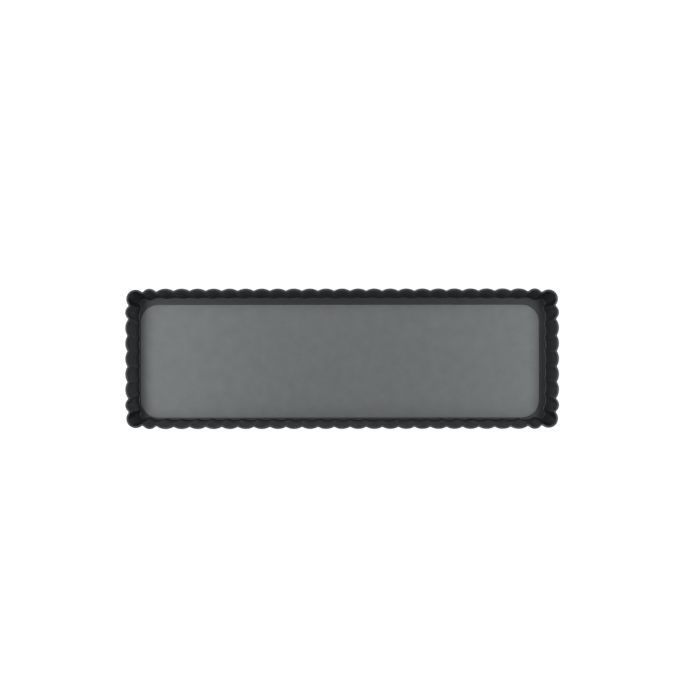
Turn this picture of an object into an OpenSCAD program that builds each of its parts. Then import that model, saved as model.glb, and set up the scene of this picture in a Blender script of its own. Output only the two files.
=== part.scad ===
// Rectangular fluted tart pan with a loose base.
// The ring is one stamped sheet: a leaning fluted wall, a rolled rim and an inward ledge at its foot.
// The base is a flat plate that lies loose on the ledge and is pushed up to free the tart.
// X runs along the pan, Y across it, and Z = 0 is the underside of the ledge.

/* [Ring] */
// Length over the rolled rim
pan_l = 355; // [280:1:430]
// Width over the rolled rim
pan_w = 115; // [95:1:140]
// Height from the underside of the ledge to the top of the rim
pan_h = 25; // [18:0.5:40]
// Thickness of the ring's sheet
sheet_t = 0.6; // [0.4:0.05:0.75]
// Distance that the wall leans out between its foot and the middle of the rolled rim
wall_lean = 4.2; // [2:0.1:6]
// Radius of the rolled rim
rim_r = 0.95; // [0.8:0.05:1.2]
// Inside radius between the wall and the ledge
foot_r = 0.6; // [0.4:0.1:1.2]

/* [Flutes] */
// Flutes along each long side
flutes_long = 25; // [19:1:28]
// Flutes along each short side
flutes_short = 7; // [5:1:8]
// Depth of the flutes at the rim
rim_flute_depth = 1.65; // [1.2:0.05:2]
// Depth of the flutes at the foot
foot_flute_depth = 0.8; // [0.5:0.05:1.2]
// Outside radius of the groove between two flutes
groove_r = 2.6; // [2.2:0.1:3.2]

/* [Corners] */
// Length of each side that a corner lobe takes up
corner_span = 12; // [11:0.25:13]
// Outside radius of a corner lobe at the rim
rim_corner_r = 6.4; // [5.5:0.1:7]
// Outside radius of a corner lobe at the foot
foot_corner_r = 5; // [4.5:0.1:7]
// How far the crests of a corner lobe lie inside those of the side flutes
corner_inset = 0.85; // [0.4:0.05:1.2]
// Outside radius at the rim of the flute beside each corner
rim_end_flute_r = 5.2; // [4.5:0.1:6.5]
// Outside radius at the foot of the flute beside each corner
foot_end_flute_r = 14; // [8:0.5:16]

/* [Ledge] */
// Width of the ledge from the foot of the wall to the opening
ledge_w = 11; // [9:0.5:16]
// Corner radius of the opening
opening_r = 10; // [8:0.5:16]

/* [Base] */
// Thickness of the base plate
base_t = 0.8; // [0.5:0.05:1.5]
// Corner radius of the base plate
base_corner_r = 15; // [14:0.5:20]
// Room that the base has between opposite walls
base_play = 4.8; // [2:0.1:6]
// Gap left at the two walls that the base has slid towards
base_gap = 0.3; // [0.3:0.05:1]

/* [Hidden] */
$fn = 64;

// Steps along one flute, one corner lobe, one groove and the bend at the foot
flute_steps = 4;
corner_steps = 10;
groove_steps = 2;
foot_steps = 2;
// Steps round the rolled rim, below and above its widest line
rim_under_steps = 2;
rim_over_steps = 4;

// Reach of the opening's cutter past the sheet, and how far in the uncut floor is drawn
cut_over = 1;
floor_pull = 0.2;

rim_z = pan_h - rim_r;
lean_angle = atan(wall_lean / rim_z);
wall_t = sheet_t / cos(lean_angle);
rim_overhang = 2 * rim_r - wall_t;
foot_run = foot_r * tan((90 - lean_angle) / 2);

opening_l = 2 * (wall_half(pan_l, sheet_t) - wall_t - ledge_w);
opening_w = 2 * (wall_half(pan_w, sheet_t) - wall_t - ledge_w);
seat_l = 2 * seat_half(0);
seat_w = 2 * seat_half(1);
base_l = seat_l - base_play;
base_w = seat_w - base_play;
base_shift = base_play / 2 - base_gap;

// Half of a size of the wall's outside, over the flutes' crests, at height z
function wall_half(size, z) = size / 2 - rim_overhang - wall_lean * (1 - z / rim_z);

// Value at height z of something that changes evenly from foot to rim
function at_height(foot, rim, z) = foot + (rim - foot) * z / rim_z;

// Point p of the +X side, turned to side k
function turned(k, p) = [cos(90 * k) * p.x - sin(90 * k) * p.y, sin(90 * k) * p.x + cos(90 * k) * p.y];

// Radius of flutes of the given pitch and depth that blend into grooves of groove_r
function flute_r(pitch, depth) = (pitch * pitch / 4 + depth * depth) / (2 * depth) - groove_r;

// Lobes of side k at height z, each as [centre, radius, steps], ending with its corner
function side_lobes(k, z) =
    let (
        across = k % 2 == 0 ? pan_l : pan_w,
        along = k % 2 == 0 ? pan_w : pan_l,
        count = k % 2 == 0 ? flutes_short : flutes_long,
        out = wall_half(across, z),
        reach = wall_half(along, z),
        pitch = 2 * (reach - corner_span) / count,
        middle_r = flute_r(pitch, at_height(foot_flute_depth, rim_flute_depth, z)),
        end_r = at_height(foot_end_flute_r, rim_end_flute_r, z),
        corner_r = at_height(foot_corner_r, rim_corner_r, z),
        corner_in = corner_r + corner_inset
    )
    concat(
        [for (i = [0:count - 1])
            let (r = i == 0 || i == count - 1 ? end_r : middle_r)
            [turned(k, [out - r, (i - (count - 1) / 2) * pitch]), r, flute_steps]],
        [[turned(k, [out - corner_in, reach - corner_in]), corner_r, corner_steps]]
    );

// Centre of the groove that blends lobe a into lobe b
function groove_centre(a, b) =
    let (
        step = b[0] - a[0],
        dir = step / norm(step),
        reach_a = a[1] + groove_r,
        reach_b = b[1] + groove_r,
        along = (reach_a * reach_a - reach_b * reach_b + step * step) / (2 * norm(step))
    )
    a[0] + along * dir + sqrt(reach_a * reach_a - along * along) * [dir.y, -dir.x];

// Distance from the middle of the pan to the deepest groove of side k, inside the bend at its foot
function seat_half(k) =
    let (lobes = side_lobes(k, sheet_t))
    min([for (i = [0:len(lobes) - 3]) turned(-k, groove_centre(lobes[i], lobes[i + 1])).x])
        - groove_r - wall_t - foot_run;

function heading(v) = atan2(v.y, v.x);
function turn_up(angle) = angle - 360 * floor(angle / 360);

// Points first to last, of steps, on the arc of radius r that turns by sweep from angle start
function arc(centre, r, start, sweep, first, last, steps) =
    [for (i = [first:last])
        let (angle = start + sweep * i / steps)
        centre + r * [cos(angle), sin(angle)]];

// Fluted outline at height z, set off outwards from the wall's outside by offset
function outline(z, offset) =
    let (
        lobes = [for (k = [0:3]) each side_lobes(k, z)],
        count = len(lobes),
        grooves = [for (i = [0:count - 1]) groove_centre(lobes[i], lobes[(i + 1) % count])]
    )
    [for (i = [0:count - 1])
        let (
            centre = lobes[i][0],
            next = lobes[(i + 1) % count][0],
            groove = grooves[i],
            lobe_start = heading(grooves[(i + count - 1) % count] - centre),
            lobe_sweep = turn_up(heading(groove - centre) - lobe_start),
            groove_start = heading(centre - groove),
            groove_sweep = -turn_up(groove_start - heading(next - groove)),
            steps = lobes[i][2]
        )
        each concat(
            arc(centre, lobes[i][1] + offset, lobe_start, lobe_sweep, 0, steps, steps),
            arc(groove, groove_r - offset, groove_start, groove_sweep, 1, groove_steps - 1, groove_steps)
        )];

// Rows of the sheet's section, each as [outline height, offset, z]
function foot_bend(r, from, to) =
    [for (i = [0:foot_steps])
        let (angle = from + (to - from) * i / foot_steps)
        [sheet_t, r * cos(angle) - wall_t - foot_run, sheet_t + foot_r + r * sin(angle)]];

function rolled_rim() =
    let (
        start = -acos((wall_t - rim_r) / rim_r),
        under = [for (i = [0:rim_under_steps - 1]) start * (1 - i / rim_under_steps)],
        over = [for (i = [0:rim_over_steps]) 180 * i / rim_over_steps]
    )
    [for (angle = concat(under, over))
        [rim_z, rim_r - wall_t + rim_r * cos(angle), rim_z + rim_r * sin(angle)]];

// Loop of points on the floor, drawn in from the wall towards the middle of the opening
function floor_loop(z) =
    let (
        core_l = opening_l / 2 - opening_r,
        core_w = opening_w / 2 - opening_r
    )
    [for (p = outline(sheet_t, 0))
        let (core = [min(core_l, max(-core_l, p.x)), min(core_w, max(-core_w, p.y))])
        concat(core + floor_pull * (p - core), z)];

// Stamped sheet before its opening is cut
module fluted_tray() {
    section = concat(
        foot_bend(foot_r + sheet_t, -90, -lean_angle),
        rolled_rim(),
        foot_bend(foot_r, -lean_angle, -90)
    );
    loops = concat(
        [floor_loop(0)],
        [for (row = section) [for (p = outline(row[0], row[1])) concat(p, row[2])]],
        [floor_loop(sheet_t)]
    );
    rows = len(loops);
    count = len(loops[0]);
    faces = [for (j = [0:rows - 1], i = [0:count - 1])
        let (
            here = j * count,
            above = (j + 1) % rows * count,
            next = (i + 1) % count
        )
        each [
            [here + i, above + i, above + next],
            [here + i, above + next, here + next]
        ]];
    polyhedron([for (loop = loops) each loop], faces, convexity = 10);
}

module rounded_rectangle(length, width, r) {
    square([length - 2 * r, width], center = true);
    square([length, width - 2 * r], center = true);
    for (x = [-1, 1], y = [-1, 1])
        translate([x * (length / 2 - r), y * (width / 2 - r)])
            circle(r);
}

module fluted_ring() {
    color([0.15, 0.15, 0.16])
        difference() {
            fluted_tray();
            translate([0, 0, -cut_over])
                linear_extrude(sheet_t + 2 * cut_over)
                    rounded_rectangle(opening_l, opening_w, opening_r);
        }
}

module loose_base() {
    color([0.44, 0.46, 0.47])
        translate([-base_shift, -base_shift, sheet_t])
            linear_extrude(base_t)
                rounded_rectangle(base_l, base_w, base_corner_r);
}

fluted_ring();
loose_base();
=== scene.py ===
"""Looks of a fluted tart pan: a dark satin ring and a paler grey loose base, seen from straight above."""

import math

import bpy
import numpy as np
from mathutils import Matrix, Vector


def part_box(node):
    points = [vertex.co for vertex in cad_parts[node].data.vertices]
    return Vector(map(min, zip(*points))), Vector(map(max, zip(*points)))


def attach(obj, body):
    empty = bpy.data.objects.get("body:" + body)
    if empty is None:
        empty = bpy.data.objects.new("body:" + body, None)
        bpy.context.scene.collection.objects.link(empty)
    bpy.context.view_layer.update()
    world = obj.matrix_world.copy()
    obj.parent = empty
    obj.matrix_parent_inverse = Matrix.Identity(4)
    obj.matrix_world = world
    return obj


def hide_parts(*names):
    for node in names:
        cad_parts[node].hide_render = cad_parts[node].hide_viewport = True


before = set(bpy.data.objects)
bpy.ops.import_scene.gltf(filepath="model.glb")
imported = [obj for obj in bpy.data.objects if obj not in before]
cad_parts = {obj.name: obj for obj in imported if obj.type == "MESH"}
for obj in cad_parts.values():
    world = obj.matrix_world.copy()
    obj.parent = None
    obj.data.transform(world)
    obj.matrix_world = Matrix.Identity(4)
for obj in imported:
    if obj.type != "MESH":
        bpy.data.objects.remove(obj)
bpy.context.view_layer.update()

# Lengths are in millimetres where no other unit is given, and MM turns them into the frame's metres
MM = 0.001

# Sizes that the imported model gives
RING_LOW, RING_HIGH = (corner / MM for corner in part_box("fluted_ring"))
BASE_LOW, BASE_HIGH = (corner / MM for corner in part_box("loose_base"))
PAN_L, PAN_W, PAN_H = RING_HIGH - RING_LOW
SHEET_T = BASE_LOW.z - RING_LOW.z

# Wall, rolled rim and foot of the ring, the eased edge of its opening and the angle where the curl ends
WALL_LEAN = 4.2
RIM_R = 0.95
FOOT_R = 0.6
EDGE_R = 0.15
CURL_END = math.radians(-100)

# Flutes and corners
FLUTES_LONG = 25
FLUTES_SHORT = 7
RIM_FLUTE_DEPTH = 1.65
FOOT_FLUTE_DEPTH = 0.8
GROOVE_R = 2.6
CORNER_SPAN = 12
RIM_CORNER_R = 6.4
FOOT_CORNER_R = 5
CORNER_INSET = 0.85
RIM_END_FLUTE_R = 5.2
FOOT_END_FLUTE_R = 14

# Ledge and base, and the base's eased edge
LEDGE_W = 11
OPENING_R = 10
BASE_CORNER_R = 15
BASE_EDGE_R = 0.2

# Fineness of the meshes, in steps
FLUTE_STEPS = 12
CORNER_STEPS = 32
GROOVE_STEPS = 6
FOOT_STEPS = 6
WALL_STEPS = 6
LEDGE_STEPS = 3
CURL_STEPS = 20
CURL_INSIDE_STEPS = 8
EDGE_STEPS = 3
BASE_CORNER_STEPS = 24

# Sizes worked out from those above
RIM_Z = PAN_H - RIM_R
LEAN = math.atan(WALL_LEAN / RIM_Z)
WALL_T = SHEET_T / math.cos(LEAN)
RIM_OVERHANG = 2 * RIM_R - WALL_T
FOOT_RUN = FOOT_R * math.tan((math.pi / 2 - LEAN) / 2)

# Grain of the coatings: scales in cells per metre, the flakes' share of the mottling and the peel's height
MOTTLE_SCALE, MOTTLE_DETAIL = 110, 3
FLAKE_SCALE, FLAKE_SHARE = 3200, 0.25
GLOSS_SCALE, GLOSS_DETAIL = 160, 3
PEEL_SCALE, PEEL_DETAIL = 900, 2
PEEL_HEIGHT = 0.004

# Places of the colour sockets of a mix node, because other sockets of it have the same names
MIX_A, MIX_B, MIX_RESULT = 6, 7, 2

# Floor, in metres. It shows its colour under the light and a glow, which rises to 1 from near to far
FLOOR_SIDE = 2.4
FLOOR_Z = -0.0001
FLOOR_COLOUR = (0.4, 0.4, 0.4)
FLOOR_GLOW = 0.71
FLOOR_NEAR = 0.3
FLOOR_FAR = 0.8

# Light of the sky at angles in degrees from overhead: dim round the camera, white at the horizon
HORIZON = 90
SKY = ((0, 0.05), (8, 0.26), (14, 0.7), (22, 0.4), (40, 0.3), (44, 0.25), (68, 0.25), (74, 1), (HORIZON, 1))

# Soft lights, each with its place and size in metres and its radiance
PANELS = {
    "panel_left": ((-0.66, 0.0, 1.0), (1.0, 0.36), 4.2),
    "panel_right": ((0.7, 0.0, 1.0), (1.0, 0.4), 4.1),
    "panel_front": ((0.0, -0.7, 0.9), (0.8, 0.42), 1.7),
    "panel_back": ((0.0, 0.6, 0.95), (0.8, 0.42), 2.8),
    "panel_side": ((-1.2, 0.0, 0.75), (0.4, 0.85), 2.6),
}

# Camera: its place in metres, its lens and sensor in millimetres and its shift in widths of the picture
CAMERA_PLACE = (0.0085, 0.0020, 0.8197)
CAMERA_SHIFT = (-0.0036, 0.0090)
CAMERA_ROLL = math.radians(-0.05)
LENS = 50
SENSOR_W = 36


def wall_half(size, z):
    """Half of a size of the wall's outside, over the flutes' crests, at height z."""
    return size / 2 - RIM_OVERHANG - WALL_LEAN * (1 - z / RIM_Z)


def at_height(foot, rim, z):
    """Value at height z of something that changes evenly from foot to rim."""
    return foot + (rim - foot) * z / RIM_Z


def side_lobes(side, z):
    """Lobes of a side at height z, each as (centre, radius, steps), ending with its corner.

    Points of the plan are complex numbers, so that 1j ** side turns the +X side to any other."""
    across, along, count = (PAN_L, PAN_W, FLUTES_SHORT) if side % 2 == 0 else (PAN_W, PAN_L, FLUTES_LONG)
    out = wall_half(across, z)
    reach = wall_half(along, z)
    pitch = 2 * (reach - CORNER_SPAN) / count
    depth = at_height(FOOT_FLUTE_DEPTH, RIM_FLUTE_DEPTH, z)
    middle_r = (pitch**2 / 4 + depth**2) / (2 * depth) - GROOVE_R
    end_r = at_height(FOOT_END_FLUTE_R, RIM_END_FLUTE_R, z)
    corner_r = at_height(FOOT_CORNER_R, RIM_CORNER_R, z)
    corner_in = corner_r + CORNER_INSET
    lobes = []
    for i in range(count):
        r = end_r if i in (0, count - 1) else middle_r
        lobes.append((complex(out - r, (i - (count - 1) / 2) * pitch) * 1j**side, r, FLUTE_STEPS))
    lobes.append((complex(out - corner_in, reach - corner_in) * 1j**side, corner_r, CORNER_STEPS))
    return lobes


def groove_centre(a, b):
    """Centre of the groove that blends lobe a into lobe b."""
    step = b[0] - a[0]
    reach_a, reach_b = a[1] + GROOVE_R, b[1] + GROOVE_R
    along = (reach_a**2 - reach_b**2 + abs(step) ** 2) / (2 * abs(step))
    outward = math.sqrt(reach_a**2 - along**2)
    return a[0] + (along - 1j * outward) * step / abs(step)


def arc(centre, r, start, sweep, steps):
    """Points of an arc, without its last one."""
    return centre + r * np.exp(1j * (start + sweep * np.arange(steps) / steps))


def outline(z, offset):
    """Fluted outline of the wall's outside at height z, set off outwards by offset."""
    lobes = [lobe for side in range(4) for lobe in side_lobes(side, z)]
    grooves = [groove_centre(a, b) for a, b in zip(lobes, lobes[1:] + lobes[:1])]
    points = []
    for i, (centre, r, steps) in enumerate(lobes):
        groove = grooves[i]
        next_centre = lobes[(i + 1) % len(lobes)][0]
        start = np.angle(grooves[i - 1] - centre)
        sweep = (np.angle(groove - centre) - start) % math.tau
        points.append(arc(centre, r + offset, start, sweep, steps))
        start = np.angle(centre - groove)
        sweep = -((start - np.angle(next_centre - groove)) % math.tau)
        points.append(arc(groove, GROOVE_R - offset, start, sweep, GROOVE_STEPS))
    return np.concatenate(points)


def loop(plan, z):
    """Points of a plan at height z, as rows of x, y, z."""
    return np.column_stack([plan.real, plan.imag, np.full(len(plan), z)])


def opening_plan(inset):
    """Round-cornered edge of the ledge's opening, drawn out by inset.

    It has one point for each point of the fluted outline."""
    points = outline(SHEET_T, 0)
    core_l, core_w = (
        wall_half(size, SHEET_T) - WALL_T - LEDGE_W - OPENING_R for size in (PAN_L, PAN_W)
    )
    core = np.clip(points.real, -core_l, core_l) + 1j * np.clip(points.imag, -core_w, core_w)
    away = points - core
    return core + (OPENING_R + inset) * away / abs(away)


def between(first, last, steps):
    """Loops that lie evenly between two others."""
    return [first + (last - first) * i / steps for i in range(1, steps)]


def eased(r):
    """Inset and drop at each point of an eased edge of radius r, from the side to the face."""
    angles = np.linspace(0, math.pi / 2, EDGE_STEPS + 1)
    return [(r * (1 - math.cos(a)), r * (1 - math.sin(a))) for a in angles]


def foot_bend(r, angles):
    """Loops round the bend at the foot of the wall."""
    centre_z = SHEET_T + FOOT_R
    return [
        loop(outline(SHEET_T, r * math.cos(a) - WALL_T - FOOT_RUN), centre_z + r * math.sin(a))
        for a in angles
    ]


def curl(r, angles):
    """Loops round the rolled rim."""
    return [loop(outline(RIM_Z, RIM_R - WALL_T + r * math.cos(a)), RIM_Z + r * math.sin(a)) for a in angles]


def ring_loops():
    """Loops round the sheet's section: ledge, inside of the wall, rolled rim, outside, underside."""
    edge_top = [loop(opening_plan(inset), SHEET_T - drop) for inset, drop in eased(EDGE_R)]
    edge_under = [loop(opening_plan(inset), drop) for inset, drop in reversed(eased(EDGE_R))]
    foot_angles = np.linspace(-math.pi / 2, -LEAN, FOOT_STEPS + 1)
    foot_inside = foot_bend(FOOT_R, foot_angles)
    foot_outside = foot_bend(FOOT_R + SHEET_T, foot_angles[::-1])
    curl_outside = curl(RIM_R, np.linspace(math.pi, CURL_END, CURL_STEPS + 1))
    curl_inside = curl(RIM_R - SHEET_T, np.linspace(CURL_END, math.pi, CURL_INSIDE_STEPS + 1))
    return [
        *edge_top,
        *between(edge_top[-1], foot_inside[0], LEDGE_STEPS),
        *foot_inside,
        *between(foot_inside[-1], curl_outside[0], WALL_STEPS),
        *curl_outside,
        *curl_inside,
        *between(curl_inside[-1], foot_outside[0], WALL_STEPS),
        *foot_outside,
        *between(foot_outside[-1], edge_under[0], LEDGE_STEPS),
        *edge_under,
    ]


def new_piece(name, points, faces, material):
    """A smooth-shaded mesh object from points in millimetres."""
    mesh = bpy.data.meshes.new(name)
    mesh.from_pydata((np.asarray(points) * MM).tolist(), [], faces)
    mesh.shade_smooth()
    mesh.materials.append(material)
    piece = bpy.data.objects.new(name, mesh)
    bpy.context.scene.collection.objects.link(piece)
    piece.modifiers.new("flat faces stay flat", "WEIGHTED_NORMAL")
    return piece


def strip(here, there, count):
    """Quads between two closed loops of points, given by their first indices."""
    return [(here + i, there + i, there + (i + 1) % count, here + (i + 1) % count) for i in range(count)]


def make_ring(material):
    """The ring's sheet, as one closed skin."""
    loops = ring_loops()
    count = len(loops[0])
    faces = []
    for row in range(len(loops)):
        faces += strip(row * count, (row + 1) % len(loops) * count, count)
    return new_piece("fluted_ring_sheet", np.concatenate(loops), faces, material)


def base_plan(inset):
    """Round-cornered outline of the base, drawn in by inset."""
    centre = (BASE_LOW + BASE_HIGH) / 2
    core = (BASE_HIGH - BASE_LOW) / 2 - Vector((BASE_CORNER_R, BASE_CORNER_R, 0))
    corners = [complex(x * core.x, y * core.y) for x, y in ((1, 1), (-1, 1), (-1, -1), (1, -1))]
    quarter = np.exp(1j * np.linspace(0, math.pi / 2, BASE_CORNER_STEPS + 1))
    arcs = [corner + (BASE_CORNER_R - inset) * quarter * 1j**k for k, corner in enumerate(corners)]
    return complex(centre.x, centre.y) + np.concatenate(arcs)


def make_base(material):
    """The base, as a flat plate with eased edges."""
    loops = [loop(base_plan(inset), BASE_LOW.z + drop) for inset, drop in reversed(eased(BASE_EDGE_R))]
    loops += [loop(base_plan(inset), BASE_HIGH.z - drop) for inset, drop in eased(BASE_EDGE_R)]
    count = len(loops[0])
    faces = [tuple(range(count))[::-1]]
    for row in range(len(loops) - 1):
        faces += [quad[::-1] for quad in strip(row * count, (row + 1) * count, count)]
    last = (len(loops) - 1) * count
    faces.append(tuple(range(last, last + count)))
    return new_piece("base_plate", np.concatenate(loops), faces, material)


def add(tree, kind, inputs=(), **settings):
    """A new shader node with its settings, and with each input set or linked."""
    node = tree.nodes.new("ShaderNode" + kind)
    for name, value in settings.items():
        setattr(node, name, value)
    for name, value in dict(inputs).items():
        if isinstance(value, bpy.types.NodeSocket):
            tree.links.new(value, node.inputs[name])
        else:
            node.inputs[name].default_value = value
    return node


def new_material(name):
    """A material with an empty tree and its output node."""
    material = bpy.data.materials.new(name)
    material.use_nodes = True
    material.node_tree.nodes.clear()
    return material, material.node_tree, add(material.node_tree, "OutputMaterial")


def spread(tree, factor, low, high):
    """Maps a pattern's value from 0 to 1 onto low to high."""
    return add(tree, "MapRange", {"Value": factor, "To Min": low, "To Max": high}).outputs["Result"]


def coating(name, dark, light, metallic, specular, roughness, rough_spread):
    """Sprayed non-stick coating: soft mottling, fine flakes, uneven gloss and a slight orange peel."""
    material, tree, output = new_material(name)
    place = add(tree, "TexCoord").outputs["Object"]
    mottle = add(tree, "TexNoise", {"Vector": place, "Scale": MOTTLE_SCALE, "Detail": MOTTLE_DETAIL})
    flakes = add(tree, "TexVoronoi", {"Vector": place, "Scale": FLAKE_SCALE})
    grey = add(tree, "SeparateColor", {"Color": flakes.outputs["Color"]}).outputs["Red"]
    flecked = add(
        tree,
        "Math",
        {0: mottle.outputs["Fac"], 1: spread(tree, grey, -FLAKE_SHARE, FLAKE_SHARE)},
        operation="ADD",
        use_clamp=True,
    )
    colour = add(
        tree,
        "Mix",
        {"Factor": flecked.outputs[0], MIX_A: (*dark, 1), MIX_B: (*light, 1)},
        data_type="RGBA",
    )
    uneven = add(tree, "TexNoise", {"Vector": place, "Scale": GLOSS_SCALE, "Detail": GLOSS_DETAIL})
    gloss = spread(tree, uneven.outputs["Fac"], roughness - rough_spread, roughness + rough_spread)
    peel = add(tree, "TexNoise", {"Vector": place, "Scale": PEEL_SCALE, "Detail": PEEL_DETAIL})
    bump = add(tree, "Bump", {"Height": peel.outputs["Fac"], "Distance": PEEL_HEIGHT * MM})
    shader = add(
        tree,
        "BsdfPrincipled",
        {
            "Base Color": colour.outputs[MIX_RESULT],
            "Metallic": metallic,
            "Specular IOR Level": specular,
            "Roughness": gloss,
            "Normal": bump.outputs["Normal"],
        },
    )
    tree.links.new(shader.outputs["BSDF"], output.inputs["Surface"])
    return material


def seen_directly(tree):
    """1 for rays that show the backdrop to the camera, straight or by gloss or glass, and 0 for light."""
    path = add(tree, "LightPath")
    seen = path.outputs["Is Camera Ray"]
    for ray in ("Is Glossy Ray", "Is Transmission Ray"):
        seen = add(tree, "Math", {0: seen, 1: path.outputs[ray]}, operation="MAXIMUM").outputs[0]
    return seen


def make_floor():
    """White floor that keeps a soft shadow, and fades into the white horizon far from the pan."""
    material, tree, output = new_material("floor_white")
    diffuse = add(tree, "BsdfDiffuse", {"Color": (*FLOOR_COLOUR, 1)})
    place = add(tree, "TexCoord").outputs["Object"]
    far = add(
        tree,
        "MapRange",
        {
            "Value": add(tree, "VectorMath", {0: place}, operation="LENGTH").outputs["Value"],
            "From Min": FLOOR_NEAR,
            "From Max": FLOOR_FAR,
            "To Min": FLOOR_GLOW,
        },
    )
    strength = add(tree, "Math", {0: seen_directly(tree), 1: far.outputs["Result"]}, operation="MULTIPLY")
    glow = add(tree, "Emission", {"Strength": strength.outputs[0]})
    both = add(tree, "AddShader", {0: diffuse.outputs[0], 1: glow.outputs[0]})
    tree.links.new(both.outputs[0], output.inputs["Surface"])
    mesh = bpy.data.meshes.new("floor")
    half = FLOOR_SIDE / 2
    corners = [(x * half, y * half, FLOOR_Z) for x, y in ((-1, -1), (1, -1), (1, 1), (-1, 1))]
    mesh.from_pydata(corners, [], [(0, 1, 2, 3)])
    mesh.materials.append(material)
    floor = bpy.data.objects.new("floor", mesh)
    bpy.context.scene.collection.objects.link(floor)


def make_world():
    """Studio sky: its light depends only on the angle from straight overhead."""
    world = bpy.data.worlds.new("studio")
    bpy.context.scene.world = world
    world.use_nodes = True
    tree = world.node_tree
    tree.nodes.clear()
    output = add(tree, "OutputWorld")
    up = add(tree, "SeparateXYZ", {"Vector": add(tree, "TexCoord").outputs["Generated"]}).outputs["Z"]
    angle = add(tree, "Math", {0: up}, operation="ARCCOSINE").outputs[0]
    share = add(tree, "MapRange", {"Value": angle, "From Max": math.radians(HORIZON)}).outputs["Result"]
    ramp = add(tree, "ValToRGB", {"Fac": share})
    stops = ramp.color_ramp.elements
    while len(stops) < len(SKY):
        stops.new(1)
    for stop, (degrees, light) in zip(stops, SKY):
        stop.position = degrees / HORIZON
        stop.color = (light, light, light, 1)
    back = add(tree, "Background", {"Color": ramp.outputs["Color"]})
    tree.links.new(back.outputs[0], output.inputs["Surface"])


def add_panel(name, place, size, radiance):
    """A soft rectangular light of even radiance that faces the middle of the pan."""
    lamp = bpy.data.lights.new(name, "AREA")
    lamp.shape = "RECTANGLE"
    lamp.size, lamp.size_y = size
    lamp.energy = radiance * math.pi * size[0] * size[1]
    panel = bpy.data.objects.new(name, lamp)
    panel.location = place
    towards_pan = Vector((0, 0, 0)) - Vector(place)
    panel.rotation_euler = towards_pan.to_track_quat("-Z", "Y").to_euler()
    panel.visible_camera = False
    bpy.context.scene.collection.objects.link(panel)


def make_camera():
    """Looks straight down, with the picture shifted and turned a little as in the photograph."""
    data = bpy.data.cameras.new("camera")
    data.lens = LENS
    data.sensor_width = SENSOR_W
    data.shift_x, data.shift_y = CAMERA_SHIFT
    camera = bpy.data.objects.new("camera", data)
    camera.location = CAMERA_PLACE
    camera.rotation_euler = (0, 0, CAMERA_ROLL)
    bpy.context.scene.collection.objects.link(camera)
    bpy.context.scene.camera = camera


ring_finish = coating(
    "charcoal_non_stick",
    dark=(0.0042, 0.005, 0.0066),
    light=(0.0075, 0.009, 0.0118),
    metallic=0,
    specular=0.66,
    roughness=0.4,
    rough_spread=0.04,
)
base_finish = coating(
    "grey_non_stick",
    dark=(0.126, 0.134, 0.136),
    light=(0.155, 0.164, 0.167),
    metallic=1,
    specular=0.5,
    roughness=0.47,
    rough_spread=0.03,
)

ring = make_ring(ring_finish)
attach(ring, "ring")
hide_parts("fluted_ring")

base = make_base(base_finish)
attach(base, "base")
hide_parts("loose_base")

make_floor()
make_world()
for name, (place, size, radiance) in PANELS.items():
    add_panel(name, place, size, radiance)
make_camera()
bpy.context.scene.view_settings.view_transform = "Standard"
